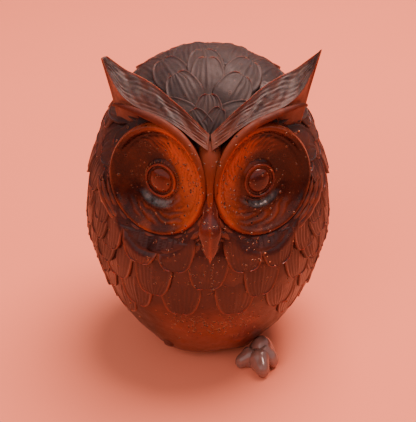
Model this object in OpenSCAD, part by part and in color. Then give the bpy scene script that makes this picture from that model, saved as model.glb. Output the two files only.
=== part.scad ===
// Small horned owl cast in clear brown resin, millimetres.
// It faces -Y, its own left side is +X, and it stands on the plane z = 0.
// The middle of its flat underside is the origin.

/* [Body] */
// Radius of the body at its widest level
body_r = 22; // [18:0.5:26.5]
// Height of the body's widest level above the base
body_z = 27; // [22:0.5:32.5]
// Radius of the flat underside
base_r = 10.5; // [8.5:0.5:13]

/* [Head] */
// Radius of the round head
head_r = 20; // [16.5:0.5:24]
// Height of the head's centre above the base
head_z = 39.5; // [35:0.5:48]

/* [Face] */
// Radius of a facial disc inside its rim
disc_r = 8.5; // [7:0.25:10.5]
// Width of the raised rim round a facial disc
rim_w = 1.2; // [0.9:0.1:1.6]
// Upward tilt of a facial disc
disc_tilt = 8.5; // [4:0.5:14]
// Depth of a facial disc's dish at its middle
dish_depth = 2.4; // [1.8:0.1:3]
// Width of the bridge where the two discs come nearest
bridge_w = 1; // [0.8:0.1:1.4]
// Height of the eyes above the middle of their discs
eye_lift = 1.2; // [0:0.1:1.6]
// Radius of a pupil
pupil_r = 1.9; // [1.5:0.1:2.3]
// Width of the ring round a pupil
eye_ring_w = 0.9; // [0.7:0.1:1.2]
// Length of the beak
beak_len = 11.5; // [9:0.5:14]
// Width of the beak
beak_w = 3.8; // [3:0.1:4.8]

/* [Ear tufts] */
// Length of an ear tuft from the head's surface to its tip
ear_len = 13.8; // [11:0.2:17]
// Radius of an ear tuft's rounded tip
ear_tip_r = 0.9; // [0.7:0.1:1.2]
// Length missing from the right tuft, whose tip did not fill
ear_loss = 2.4; // [1:0.1:4]

/* [Plumage] */
// Radius of one body feather's round end
feather_r = 3.1; // [2.4:0.1:3.5]
// Height that a feather stands proud of the body
feather_t = 0.55; // [0.4:0.05:0.8]
// Thickness of a folded wing over the body
wing_t = 1.2; // [0.9:0.1:1.6]
// Radius of a folded wing's shoulder
shoulder_r = 9; // [7.5:0.25:10.5]
// Length of a folded wing from shoulder to tip
wing_len = 22; // [18:0.5:25]
// Width of the tail
tail_w = 13; // [10:0.5:16]

/* [Foot] */
// Length of the middle toe from the middle of the foot
toe_len = 4.6; // [3.8:0.2:5.6]
// Radius of a toe at its knuckle
toe_r = 1.8; // [1.5:0.1:2.1]

/* [Hidden] */
round_fn = 180;
ball_fn = 24;
reach = 60;

// The discs turn outward until their rims meet the two sides of the bridge.
disc_edge = disc_r + rim_w;
disc_front = head_r - 0.7;
disc_back = disc_front - dish_depth - 1.3;
disc_fore = disc_front * cos(disc_tilt);
disc_turn = atan(disc_edge / disc_fore) + asin(bridge_w / 2 / norm([disc_fore, disc_edge]));
disc_mid_z = head_z + disc_front * sin(disc_tilt);
disc_meet_y = disc_fore * cos(disc_turn) + disc_edge * sin(disc_turn);
dish_r = (disc_r * disc_r + dish_depth * dish_depth) / (2 * dish_depth);
eye_seat = disc_front - dish_depth - 0.2;

// The trunk ends just under the discs.
neck_gap = 0.6;
neck_z = head_z + disc_back * sin(disc_tilt) - disc_edge * cos(disc_tilt) - neck_gap;

beak_top_z = disc_mid_z - 0.5;

// Plumage is set out in rings round the head, by angle above the head's centre.
// Two feathers side by side are never nearer than feather_gap.
forehead_el = 47;
crown_el = 64;
back_el = 44;
nape_els = [24, 5];
behind_ears = 82;
feather_gap = 0.3;
feather_pitch = 2 * feather_r + feather_gap;

// Radius of the owl's plain round core at a height
function core_r(z) =
    z < body_z ? body_r - (body_r - base_r) * pow((body_z - z) / body_z, 2)
    : z < head_z ? body_r + (head_r - body_r) * pow((z - body_z) / (head_z - body_z), 2)
    : sqrt(max(0, head_r * head_r - pow(z - head_z, 2)));

// Angle of the core's outward normal above the horizontal at a height
function core_slope(z) =
    z < body_z ? -atan(2 * (body_r - base_r) * (body_z - z) / pow(body_z, 2))
    : z < head_z ? -atan(2 * (head_r - body_r) * (z - body_z) / pow(head_z - body_z, 2))
    : asin(min(1, (z - head_z) / head_r));

function head_level(el) = head_z + head_r * sin(el);

// Turn from one feather to the next in a ring of a given radius
function pitch_turn(ring_r) = 2 * asin(feather_pitch / 2 / ring_r);

// Turns of the feathers that fit evenly in a ring round the head, from one side to the other
function ring_turns(el, from) =
    let (gaps = floor((360 - 2 * from) / pitch_turn(head_r * cos(el))))
    [for (i = [0:gaps]) from + i * (360 - 2 * from) / gaps];

core_levels = concat(
    [for (i = [0:9]) body_z * i / 10],
    [for (i = [0:4]) body_z + (head_z - body_z) * i / 4],
    [for (a = [7.5:7.5:90]) head_level(a)]);

module core(grow = 0)
    rotate_extrude($fn = round_fn)
        polygon(concat(
            [[0, 0]],
            [for (z = core_levels) [core_r(z) + grow, z]],
            grow > 0 ? [[0, head_z + head_r]] : []));

// Puts a child on the core's surface, with its own +Z pointing outward and its +Y pointing up
module on_core(turn, z)
    rotate([0, 0, turn])
        translate([0, -core_r(z), z])
            rotate([90 - core_slope(z), 0, 0])
                children();

module on_disc()
    translate([0, 0, head_z])
        rotate([0, 0, disc_turn])
            rotate([90 - disc_tilt, 0, 0])
                children();

module ball(r) sphere(r = r, $fn = ball_fn);

module left_half()
    intersection() {
        children();
        translate([bridge_w / 2, -reach, -reach]) cube([reach, 2 * reach, 3 * reach]);
    }

module above_base()
    intersection() {
        children();
        translate([-reach, -reach, 0]) cube([2 * reach, 2 * reach, reach]);
    }

// Everything that a facial disc sits in or looks out through
module disc_space()
    left_half()
        on_disc() translate([0, 0, disc_back]) cylinder(r = disc_edge, h = reach, $fn = round_fn);

module both_disc_spaces() {
    disc_space();
    mirror([1, 0, 0]) disc_space();
}

module trunk()
    color("sienna")
        intersection() {
            core();
            cylinder(r = reach, h = neck_z);
        }

module head()
    color([0.42, 0.24, 0.18])
        difference() {
            core();
            cylinder(r = reach, h = neck_z);
            both_disc_spaces();
        }

module facial_disc()
    left_half()
        on_disc()
            difference() {
                translate([0, 0, disc_back])
                    cylinder(r = disc_edge, h = disc_front - disc_back, $fn = round_fn);
                translate([0, 0, disc_front - dish_depth + dish_r]) sphere(r = dish_r, $fn = round_fn);
                translate([0, eye_lift, eye_seat])
                    cylinder(r = pupil_r + eye_ring_w, h = dish_depth * 2, $fn = round_fn);
            }

module disc_rim()
    left_half()
        on_disc()
            translate([0, 0, disc_front])
                rotate_extrude($fn = round_fn)
                    intersection() {
                        translate([disc_r + rim_w / 2, 0]) circle(d = rim_w, $fn = ball_fn);
                        square([disc_edge, rim_w]);
                    }

module eye_ring()
    on_disc()
        translate([0, eye_lift, eye_seat])
            rotate_extrude($fn = round_fn)
                translate([pupil_r, 0]) square([eye_ring_w, eye_ring_w]);

module pupil() {
    dome = pupil_r * 1.15;
    on_disc()
        translate([0, eye_lift, eye_seat])
            intersection() {
                cylinder(r = pupil_r, h = dome * 2, $fn = round_fn);
                translate([0, 0, dome * 0.65]) sphere(r = dome, $fn = round_fn);
            }
}

module left_facial_disc() color("firebrick") facial_disc();
module right_facial_disc() color("firebrick") mirror([1, 0, 0]) facial_disc();
module left_disc_rim() color("chocolate") disc_rim();
module right_disc_rim() color("chocolate") mirror([1, 0, 0]) disc_rim();
module left_eye_ring() color("orangered") eye_ring();
module right_eye_ring() color("orangered") mirror([1, 0, 0]) eye_ring();
module left_pupil() color("maroon") pupil();
module right_pupil() color("maroon") mirror([1, 0, 0]) pupil();

// Wedge between the two discs, from the beak's root up to the point where the brows part
module bridge_blank() {
    top_z = disc_mid_z + disc_edge * 0.75;
    hull() {
        translate([0, -disc_meet_y + 0.5, beak_top_z]) ball(bridge_w * 0.6);
        translate([0, -disc_meet_y + 0.9, disc_mid_z + disc_edge * 0.35]) ball(bridge_w * 0.8);
        for (x = [-1, 1]) {
            translate([x, -disc_meet_y + 3, top_z]) ball(1.2);
            translate([3 * x, -core_r(top_z) + 0.5, top_z]) ball(1);
        }
        translate([0, -head_r + 1.5, beak_top_z]) ball(1);
    }
}

module bridge()
    color("chocolate")
        difference() {
            bridge_blank();
            core();
            both_disc_spaces();
        }

module beak_blank() {
    tip_z = beak_top_z - beak_len;
    wide_z = beak_top_z - beak_len * 0.45;
    root_z = neck_z + 2;
    side = beak_w / 2;
    hull() {
        translate([0, -disc_meet_y + 0.3, beak_top_z]) ball(0.7);
        translate([0, -disc_meet_y - 1.6, wide_z]) ball(1);
        for (x = [-1, 1]) translate([x * (side - 0.8), -disc_meet_y + 0.2, wide_z]) ball(0.8);
        translate([0, -max(disc_meet_y, core_r(tip_z)) - 2, tip_z + 0.5]) ball(0.5);
        translate([0, -core_r(root_z) + 0.6, root_z]) ball(1.4);
        translate([0, -head_r + 1.5, beak_top_z]) ball(0.7);
    }
}

module beak()
    color("darkorange")
        difference() {
            beak_blank();
            core();
            both_disc_spaces();
            bridge_blank();
        }

// Ridge over a disc, from the middle of the forehead out to the ear tuft
module brow_blank() {
    inner_z = disc_mid_z + disc_edge * 0.79;
    hull() {
        translate([1.1, -disc_meet_y + 2.6, inner_z]) ball(1.6);
        on_core(27, inner_z + 1.6) translate([0, 0, 0.8]) ball(2);
        on_core(48, inner_z + 1) translate([0, 0, 0.4]) ball(2.6);
    }
}

module brow()
    difference() {
        brow_blank();
        translate([-reach, -reach, 0]) cube([reach, 2 * reach, 2 * reach]);
        core();
        both_disc_spaces();
        bridge_blank();
    }

module left_brow() color("peru") brow();
module right_brow() color("peru") mirror([1, 0, 0]) brow();

// Horn-shaped tuft that rises outward and a little back from the top corner of the head
module on_ear()
    on_core(48, head_level(36)) rotate([-18, 14, 0]) children();

module ear_blank()
    hull() {
        on_ear() translate([0, 0, ear_len - ear_tip_r]) ball(ear_tip_r);
        on_ear() translate([0.4, 0, ear_len * 0.55]) ball(2);
        on_core(38, head_level(42)) translate([0, 0, -1.5]) ball(3);
        on_core(58, head_level(30)) translate([0, 0, -1.5]) ball(3);
    }

module ear_tuft()
    difference() {
        ear_blank();
        core();
        disc_space();
        brow_blank();
        bridge_blank();
    }

module left_ear_tuft() color([0.55, 0.4, 0.35]) ear_tuft();

module right_ear_tuft()
    color([0.55, 0.4, 0.35])
        mirror([1, 0, 0])
            difference() {
                ear_tuft();
                on_ear()
                    translate([0, 0, ear_len - ear_loss])
                        rotate([0, 12, 0])
                            translate([-reach / 2, -reach / 2, 0])
                                cube(reach);
            }

// One feather: a round plate on the core. A positive lift raises its lower edge.
module feather(turn, z, lift = 7)
    on_core(turn, z)
        rotate([-lift, 0, 0])
            translate([0, 0, -feather_r / 2])
                cylinder(r = feather_r, h = feather_r / 2 + feather_t, $fn = round_fn);

module head_ring(el, turns, lift = -7)
    for (turn = turns)
        feather(turn, head_level(el), lift);

module forehead_feathers()
    color([0.5, 0.38, 0.34])
        difference() {
            head_ring(forehead_el, [-0.5, 0.5] * pitch_turn(head_r * cos(forehead_el)));
            core();
            brow_blank();
            mirror([1, 0, 0]) brow_blank();
        }

module crown_feathers()
    color([0.45, 0.33, 0.3])
        difference() {
            union() {
                head_ring(crown_el, [for (turn = ring_turns(crown_el, 0)) if (turn < 359) turn]);
                head_ring(88, [180]);
                head_ring(back_el, ring_turns(back_el, behind_ears));
            }
            core();
        }

module nape_feathers()
    color([0.4, 0.25, 0.2])
        difference() {
            for (el = nape_els) head_ring(el, ring_turns(el, behind_ears), 6);
            core();
        }

// Outline of one folded wing seen from the side: a large round shoulder drawn down to a small tip
module drop_outline(big, small, len) {
    touch = acos((big - small) / len);
    polygon(concat(
        [for (i = [0:14]) let (a = touch + (360 - 2 * touch) * i / 14) big * [cos(a), sin(a)]],
        [for (i = [0:6]) let (a = -touch + 2 * touch * i / 6) [len + small * cos(a), small * sin(a)]]));
}

module beside(grow)
    intersection() {
        core(grow);
        rotate([90, 0, 90]) linear_extrude(reach) children();
    }

// The shoulders lie over the seam between the head and the trunk.
shoulder_y = -0.5;
shoulder_z = neck_z - 3.6;
wing_drop = -57;

module wing_outline()
    translate([shoulder_y, shoulder_z])
        rotate(wing_drop)
            drop_outline(shoulder_r, shoulder_r * 0.3, wing_len - shoulder_r * 0.3);

module flight_outline()
    for (i = [0:2])
        translate([shoulder_y + 2 * i, shoulder_z])
            rotate(wing_drop + 3 + 8 * i)
                drop_outline(shoulder_r * 0.45, shoulder_r * 0.2, wing_len - 0.5 - 4 * i);

module wing()
    difference() {
        beside(wing_t) wing_outline();
        core();
    }

module flight_feathers()
    difference() {
        beside(wing_t * 0.6) flight_outline();
        core();
        rotate([90, 0, 90]) linear_extrude(reach) wing_outline();
    }

module left_wing() color("saddlebrown") wing();
module right_wing() color("saddlebrown") mirror([1, 0, 0]) wing();
module left_flight_feathers() color([0.38, 0.2, 0.14]) flight_feathers();
module right_flight_feathers() color([0.38, 0.2, 0.14]) mirror([1, 0, 0]) flight_feathers();

// Rows of body feathers start just under the neck, and stay clear of the wings.
row_top = neck_z - feather_r - 0.6;
row_step = feather_pitch * 0.85;

module breast_row(row, places)
    difference() {
        for (place = places) feather(place * pitch_turn(body_r), row_top - row * row_step);
        core();
        wings_cut();
    }

module wings_cut() {
    beside(wing_t) wing_outline();
    mirror([1, 0, 0]) beside(wing_t) wing_outline();
}

module breast_row_1() color("brown") breast_row(0, [-2.4, -1.04, 1.04, 2.4]);
module breast_row_2() color("sienna") breast_row(1, [-3, -1.5, 0, 1.5, 3]);
module breast_row_3() color("brown") breast_row(2, [-2.4, -0.8, 0.8, 2.4]);
module belly_row() color("sienna") breast_row(3, [-1.7, 0, 1.7]);

module back_feathers()
    color([0.4, 0.22, 0.16])
        difference() {
            for (row = [0:2])
                for (i = [row - 4:2:4 - row])
                    feather(180 + i * 0.58 * pitch_turn(body_r), row_top - row * row_step);
            core();
            wings_cut();
            beside(wing_t) flight_outline();
            mirror([1, 0, 0]) beside(wing_t) flight_outline();
            tail_blank();
        }

// Short square tail: a wedge seen from the side, narrower at its lower end
tail_root_z = body_z * 0.5;
tail_y = core_r(tail_root_z) + 1.2;
tail_gap = 0.6;

module tail_blank()
    intersection() {
        rotate([90, 0, 90])
            translate([0, 0, -tail_w / 2])
                linear_extrude(tail_w)
                    polygon([
                        [core_r(tail_root_z) - 3, tail_root_z], [tail_y - 2, tail_root_z], [tail_y, tail_root_z - 2],
                        [tail_y + 0.6, 2.5], [tail_y - 0.6, tail_gap], [core_r(0) - 3, tail_gap]]);
        rotate([90, 0, 180])
            linear_extrude(reach)
                polygon([
                    [-tail_w / 2, tail_root_z], [tail_w / 2, tail_root_z], [tail_w * 0.4, tail_gap + 1],
                    [tail_w * 0.3, tail_gap], [-tail_w * 0.3, tail_gap], [-tail_w * 0.4, tail_gap + 1]]);
    }

module tail()
    color("saddlebrown")
        difference() {
            tail_blank();
            core();
            beside(wing_t) flight_outline();
            mirror([1, 0, 0]) beside(wing_t) flight_outline();
        }

// Only the left foot came out of the mould. Its toes spread from one point beside the base.
foot_turn = 42;
ankle_z = 4.4;
foot_out = core_r(ankle_z) + 1.2;
foot_mid = [foot_out * sin(foot_turn), -foot_out * cos(foot_turn), 0];

module leg_blank()
    hull() {
        translate(foot_mid + [0.9, 0.6, ankle_z]) ball(toe_r * 1.25);
        translate(foot_mid + [0.2, 0.4, toe_r * 0.9]) ball(toe_r);
        on_core(foot_turn, ankle_z + 1.5) ball(toe_r);
    }

module toe_blank(turn, len, knuckle_r)
    translate(foot_mid)
        rotate([0, 0, turn])
            hull() {
                translate([0, -len * 0.4, knuckle_r * 0.75]) ball(knuckle_r);
                translate([0, -len + knuckle_r * 0.5, knuckle_r * 0.4]) ball(knuckle_r * 0.5);
            }

module middle_toe_blank() toe_blank(2, toe_len, toe_r);

module left_leg()
    color([0.62, 0.46, 0.4])
        above_base()
            difference() {
                leg_blank();
                core();
            }

module left_middle_toe()
    color([0.7, 0.55, 0.48])
        above_base()
            difference() {
                middle_toe_blank();
                leg_blank();
                core();
            }

module side_toe(turn, len, knuckle_r)
    above_base()
        difference() {
            toe_blank(turn, len, knuckle_r);
            leg_blank();
            middle_toe_blank();
            core();
        }

module left_inner_toe() color([0.66, 0.5, 0.44]) side_toe(-52, toe_len, toe_r * 0.85);
module left_outer_toe() color([0.66, 0.5, 0.44]) side_toe(48, toe_len * 0.85, toe_r * 0.95);

// The right foot's cavity trapped air, so only a low bump is left of it.
module right_foot_stub()
    color([0.62, 0.4, 0.3])
        difference() {
            on_core(-33, ankle_z) ball(toe_r);
            core();
        }

trunk();
head();
left_facial_disc();
right_facial_disc();
left_disc_rim();
right_disc_rim();
left_eye_ring();
right_eye_ring();
left_pupil();
right_pupil();
bridge();
beak();
left_brow();
right_brow();
left_ear_tuft();
right_ear_tuft();
forehead_feathers();
crown_feathers();
nape_feathers();
left_wing();
right_wing();
left_flight_feathers();
right_flight_feathers();
breast_row_1();
breast_row_2();
breast_row_3();
belly_row();
back_feathers();
tail();
left_leg();
left_inner_toe();
left_middle_toe();
left_outer_toe();
right_foot_stub();
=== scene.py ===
import math
import random

import bmesh
import bpy
from mathutils import Matrix, Vector, noise
from mathutils.bvhtree import BVHTree


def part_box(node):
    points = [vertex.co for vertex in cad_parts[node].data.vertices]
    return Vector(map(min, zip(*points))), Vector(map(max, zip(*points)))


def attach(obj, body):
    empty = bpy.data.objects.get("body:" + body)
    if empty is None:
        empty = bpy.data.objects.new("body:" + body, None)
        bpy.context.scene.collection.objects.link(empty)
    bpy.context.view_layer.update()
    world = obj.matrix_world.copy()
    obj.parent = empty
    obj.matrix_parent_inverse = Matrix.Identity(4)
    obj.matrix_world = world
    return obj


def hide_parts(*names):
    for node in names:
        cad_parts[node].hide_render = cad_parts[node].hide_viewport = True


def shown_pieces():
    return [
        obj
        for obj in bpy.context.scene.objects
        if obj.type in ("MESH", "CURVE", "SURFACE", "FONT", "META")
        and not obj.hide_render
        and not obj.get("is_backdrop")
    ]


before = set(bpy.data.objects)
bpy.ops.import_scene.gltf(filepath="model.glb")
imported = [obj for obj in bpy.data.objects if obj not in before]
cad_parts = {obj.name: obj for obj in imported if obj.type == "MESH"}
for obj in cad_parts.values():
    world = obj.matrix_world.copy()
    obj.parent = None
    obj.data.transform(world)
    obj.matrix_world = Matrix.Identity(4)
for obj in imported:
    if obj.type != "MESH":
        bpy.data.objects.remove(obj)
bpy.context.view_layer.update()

# ---- Set, lights and camera ----
# The figurine stands on a sheet of matt salmon card that curves up all round it.
# One large soft lamp hangs over it, a little behind and to the right, and a weak one fills the front.

card_flat = 0.62
card_curve = 0.40
card_colour = "#e28266"
card_faded = "#de7b5f"
card_grain = 0.0009
# each lamp's place, width, watts and colour, and whether it shows in reflections
lamp_places = (
    ((0.10, 0.10, 0.46), 0.36, 5.9, "#ffd1c3", True),
    ((-0.30, -0.45, 0.42), 0.50, 2.6, "#ffe9e2", False),
)
room_colour = "#efe0e0"
room_strength = 0.68
camera_target = Vector((0.0, 0.0, 0.030))
camera_distance = 0.215
camera_elevation = 30.0
camera_lens = 96.4
camera_shift = -0.0355


def linear(hex_colour):
    """An sRGB hex value as linear red, green, blue and alpha."""
    parts = [int(hex_colour[i : i + 2], 16) / 255 for i in (1, 3, 5)]
    return [p / 12.92 if p <= 0.04045 else ((p + 0.055) / 1.055) ** 2.4 for p in parts] + [1.0]


def add_node(tree, kind, settings=None, values=None, links=None):
    """Adds one shader node with its settings, its input values and the sockets that feed it."""
    made = tree.nodes.new("ShaderNode" + kind)
    for key, value in (settings or {}).items():
        setattr(made, key, value)
    for key, value in (values or {}).items():
        made.inputs[key].default_value = value
    for key, source in (links or {}).items():
        tree.links.new(source, made.inputs[key])
    return made


def start_material(name):
    """A new material, its empty node tree and its object coordinates."""
    made = bpy.data.materials.new(name)
    made.use_nodes = True
    tree = made.node_tree
    tree.nodes.clear()
    place = add_node(tree, "TexCoord").outputs["Object"]
    return made, tree, place


def cloudy(tree, place, scale, detail):
    """Cloudy noise, with its scale per metre."""
    made = add_node(tree, "TexNoise", values={"Scale": scale, "Detail": detail}, links={"Vector": place})
    return made.outputs["Fac"]


def blend(tree, share, first, second):
    """Two colours mixed, each a hex value or the socket of an earlier colour."""
    made = add_node(tree, "Mix", {"data_type": "RGBA"}, links={0: share})
    for socket, colour in ((6, first), (7, second)):
        if isinstance(colour, str):
            made.inputs[socket].default_value = linear(colour)
        else:
            tree.links.new(colour, made.inputs[socket])
    return made.outputs[2]


def bumped(tree, height, strength, distance, over=None):
    """A surface direction bent by a height, over an earlier one if there is one."""
    links = {"Height": height}
    if over:
        links["Normal"] = over
    made = add_node(tree, "Bump", values={"Strength": strength, "Distance": distance}, links=links)
    return made.outputs["Normal"]


def give_surface(tree, values, links):
    """Makes a material's surface and joins it to the output."""
    shader = add_node(tree, "BsdfPrincipled", values=values, links=links)
    add_node(tree, "OutputMaterial", links={"Surface": shader.outputs["BSDF"]})


def put_in(thing):
    """Puts an object in the scene."""
    bpy.context.scene.collection.objects.link(thing)


def revolve(bm, points, steps):
    """Draws a line through the points and turns it all round the upright axis."""
    line = [bm.verts.new(point) for point in points]
    edges = [bm.edges.new(pair) for pair in zip(line, line[1:])]
    bmesh.ops.spin(
        bm, geom=line + edges, cent=(0, 0, 0), axis=(0, 0, 1), angle=math.tau, steps=steps, use_merge=True,
        use_duplicate=False,
    )


# uncoated card: dead matt, with a faint felt grain and slow unevenness in its dye
card_material, tree, place = start_material("salmon_card_uncoated")
felt = cloudy(tree, place, 1 / card_grain, 3.0)
dyed = blend(tree, cloudy(tree, place, 14.0, 2.0), card_colour, card_faded)
give_surface(
    tree, {"Roughness": 0.85, "Specular IOR Level": 0.2},
    {"Base Color": dyed, "Normal": bumped(tree, felt, 0.12, 0.0001)},
)

bm = bmesh.new()
edge = [(0.0, 0.0, 0.0), (card_flat, 0.0, 0.0)]
for step in range(1, 13):
    bend = math.radians(7.0 * step)
    edge.append((card_flat + card_curve * math.sin(bend), 0.0, card_curve * (1 - math.cos(bend))))
revolve(bm, edge, 96)
bmesh.ops.remove_doubles(bm, verts=bm.verts, dist=1e-5)
bmesh.ops.recalc_face_normals(bm, faces=bm.faces)
card_mesh = bpy.data.meshes.new("card")
bm.to_mesh(card_mesh)
bm.free()
for face in card_mesh.polygons:
    face.use_smooth = True
card = bpy.data.objects.new("card", card_mesh)
card_mesh.materials.append(card_material)
put_in(card)
card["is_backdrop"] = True

for number, (spot, size, watts, colour, shines) in enumerate(lamp_places):
    lamp = bpy.data.lights.new("soft_lamp_%d" % number, "AREA")
    lamp.shape = "DISK"
    lamp.size = size
    lamp.energy = watts
    lamp.color = linear(colour)[:3]
    hung = bpy.data.objects.new("soft_lamp_%d" % number, lamp)
    hung.location = spot
    hung.visible_glossy = shines
    hung.rotation_euler = (Vector(spot) - camera_target).to_track_quat("Z", "Y").to_euler()
    put_in(hung)

room = bpy.data.worlds.new("room")
room.use_nodes = True
backdrop = room.node_tree.nodes["Background"]
backdrop.inputs["Color"].default_value = linear(room_colour)
backdrop.inputs["Strength"].default_value = room_strength
bpy.context.scene.world = room

lens = bpy.data.cameras.new("camera")
lens.lens = camera_lens
lens.sensor_width = 36.0
lens.shift_y = camera_shift
lens.clip_start = 0.01
camera = bpy.data.objects.new("camera", lens)
tilt = math.radians(camera_elevation)
camera.location = camera_target + camera_distance * Vector((0.0, -math.cos(tilt), math.sin(tilt)))
camera.rotation_euler = (camera.location - camera_target).to_track_quat("Z", "Y").to_euler()
put_in(camera)
bpy.context.scene.camera = camera

# ---- Trunk and head ----
# The plump body and the round head are one pour of amber casting resin in a silicone mould.
# Feathers are moulded over nearly all of it, so only the low belly and the base show bare.

# All lengths from here on are in millimetres.
body_low, body_high = [corner * 1000 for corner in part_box("trunk")]
head_low, head_high = [corner * 1000 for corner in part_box("head")]
body_radius = (body_high.x - body_low.x) / 2
body_middle = 27.0
base_radius = 10.5
base_edge = 0.3
base_tuck = 1.9
head_radius = (head_high.x - head_low.x) / 2
head_middle = head_high.z - head_radius
head_centre = Vector((0.0, 0.0, head_middle))
neck_drop = body_radius - head_radius
neck_height = 36.0
neck_blend = 9.0
head_flattening = 0.055
weld = 0.004
pole_gap = 0.0001
both_sides = ((1, "left"), (-1, "right"))


def core_radius(height):
    """The radius of the smooth body under the feathers, in millimetres."""
    if height < body_middle:
        down = (body_middle - max(height, 0.0)) / body_middle
        return body_radius - (body_radius - base_radius) * down**2
    if height < head_middle:
        return body_radius - neck_drop * ((height - body_middle) / (head_middle - body_middle)) ** 2
    return math.sqrt(max(head_radius**2 - (height - head_middle) ** 2, 0.0))


def ease(low, high, value):
    """0 under low, 1 over high and a smooth rise between."""
    part = min(max((value - low) / (high - low), 0.0), 1.0)
    return part * part * (3 - 2 * part)


def bell(value, middle, width):
    """1 at the middle, falling away to 0 on both sides."""
    return math.exp(-(((value - middle) / width) ** 2))


def flattened(point):
    """The head is a little narrower than it is deep, from the neck up."""
    share = ease(neck_height, neck_height + neck_blend, point.z)
    return Vector((point.x * (1 - head_flattening * share), point.y, point.z))


def on_core(near, lift):
    """The point over the smooth body beside a point near it, with its outward direction."""
    if near.z > head_middle:
        out = (near - head_centre).normalized()
        return flattened(head_centre + out * (head_radius + lift)), out
    flat = Vector((near.x, near.y, 0.0)).normalized()
    slope = (core_radius(near.z + 0.2) - core_radius(near.z - 0.2)) / 0.4
    out = (flat - Vector((0.0, 0.0, slope))).normalized()
    return flattened(flat * core_radius(near.z) + Vector((0.0, 0.0, near.z)) + out * lift), out


def tone_layer(bm):
    """The mesh's layer that says where each point has painted glow, painted shade and painted sheen."""
    return bm.verts.layers.float_color.get("tone") or bm.verts.layers.float_color.new("tone")


def cast_piece(name, bm, finish, slot, *nodes):
    """Closes a mesh drawn in millimetres and makes it a piece of the figurine."""
    bmesh.ops.remove_doubles(bm, verts=bm.verts, dist=weld)
    bmesh.ops.dissolve_degenerate(bm, edges=bm.edges, dist=0.001)
    bmesh.ops.recalc_face_normals(bm, faces=bm.faces)
    bmesh.ops.scale(bm, verts=bm.verts, vec=(0.001, 0.001, 0.001))
    made = bpy.data.meshes.new(name)
    bm.to_mesh(made)
    bm.free()
    for face in made.polygons:
        face.use_smooth = True
    made.materials.append(finish)
    piece = bpy.data.objects.new(name, made)
    put_in(piece)
    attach(piece, "root")
    if nodes:
        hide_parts(*nodes)


def ranged(tree, source, low, high, to_low=0.0, to_high=1.0):
    """Spreads values between low and high over another range."""
    ends = {"From Min": low, "From Max": high, "To Min": to_low, "To Max": to_high}
    return add_node(tree, "MapRange", values=ends, links={"Value": source}).outputs["Result"]


def reckoned(tree, operation, first, second, clamped=True):
    """Two values added, taken away or multiplied."""
    settings = {"operation": operation, "use_clamp": clamped}
    return add_node(tree, "Math", settings, links={0: first, 1: second}).outputs["Value"]


def amber_resin(name, colours, roughness, coat, bubble=0.0, grain=0.10, gloss=0.4):
    """Amber polyester casting resin, poured with air in it and left as the mould gives it.
    Its colours are the deep, the middle, a painted glow and a painted sheen. The vertex attribute tone says
    where a glow of light is painted (red), where shade is painted (green) and where sheen is painted (blue)."""
    made, tree, place = start_material(name)
    deep, middle, glow, painted_sheen = colours
    tone = add_node(tree, "Attribute", {"attribute_name": "tone"})
    parts = add_node(tree, "SeparateColor", links={"Color": tone.outputs["Color"]}).outputs
    # slow clouds of denser dye, about 9 mm across
    cloud = cloudy(tree, place, 110.0, 3.0)
    colour = blend(tree, ranged(tree, cloud, 0.32, 0.68), deep, middle)
    # a painted glow of light shining through, added unevenly over about 4 mm to the glow the mesh asks for
    warmth = ranged(tree, cloudy(tree, place, 260.0, 4.0), 0.52, 0.72, 0.0, 0.35)
    colour = blend(tree, reckoned(tree, "ADD", parts["Red"], warmth), colour, glow)
    # painted shade: the green channel darkens grooves, creases, roots under overlapping feathers and the
    # flanks towards near black
    colour = blend(tree, parts["Green"], colour, "#1d0504")
    # a painted sheen of pale reflected light on the frosted feathers, broken up over about 1.5 mm by a noise
    # that also varies the roughness
    sheen_and_roughness_noise = add_node(
        tree, "TexNoise", values={"Scale": 650.0, "Detail": 5.0, "Roughness": 0.65}, links={"Vector": place}
    ).outputs["Fac"]
    sheen_mask = reckoned(tree, "MULTIPLY", parts["Blue"], ranged(tree, sheen_and_roughness_noise, 0.38, 0.66))
    colour = blend(tree, sheen_mask, colour, painted_sheen)
    # pin bubbles 0.2 to 0.4 mm across under the skin: a bead in painted shade with a painted bright rim
    if bubble > 0:
        cells = add_node(
            tree, "TexVoronoi", {"feature": "F1"}, {"Scale": 1050.0, "Randomness": 1.0}, {"Vector": place}
        )
        chance = add_node(tree, "SeparateColor", links={"Color": cells.outputs["Color"]}).outputs["Red"]
        size = ranged(tree, chance, 1 - bubble, 1.0, 0.0, 0.30)
        inside = reckoned(tree, "SUBTRACT", size, cells.outputs["Distance"], clamped=False)
        bead = ranged(tree, inside, 0.03, 0.06)
        rim = ranged(tree, inside, -0.035, 0.0, 0.0, 0.55)
        colour = blend(tree, reckoned(tree, "SUBTRACT", rim, bead), colour, "#6e4534")
        colour = blend(tree, bead, colour, "#120303")
    # the mould's own fine tooth, about 0.25 mm, over slow waves
    fine = bumped(tree, cloudy(tree, place, 3800.0, 4.0), grain, 0.0001)
    soft = bumped(tree, cloudy(tree, place, 700.0, 2.0), 0.25, 0.0003, fine)
    give_surface(
        tree,
        {
            "IOR": 1.54, "Specular IOR Level": gloss,
            "Coat Weight": coat, "Coat Roughness": 0.12, "Coat IOR": 1.5,
            "Subsurface Weight": 0.35, "Subsurface Radius": (1.0, 0.32, 0.12), "Subsurface Scale": 0.0009,
        },
        {
            "Base Color": colour, "Normal": soft,
            "Roughness": ranged(tree, sheen_and_roughness_noise, 0.3, 0.7, roughness * 0.8, roughness * 1.25),
        },
    )
    return made


body_resin = amber_resin(
    "amber_resin_body", ("#2a1111", "#3b1c17", "#6c3520", "#5c3a30"),
    roughness=0.38, coat=0.30, bubble=0.45,
)


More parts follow.
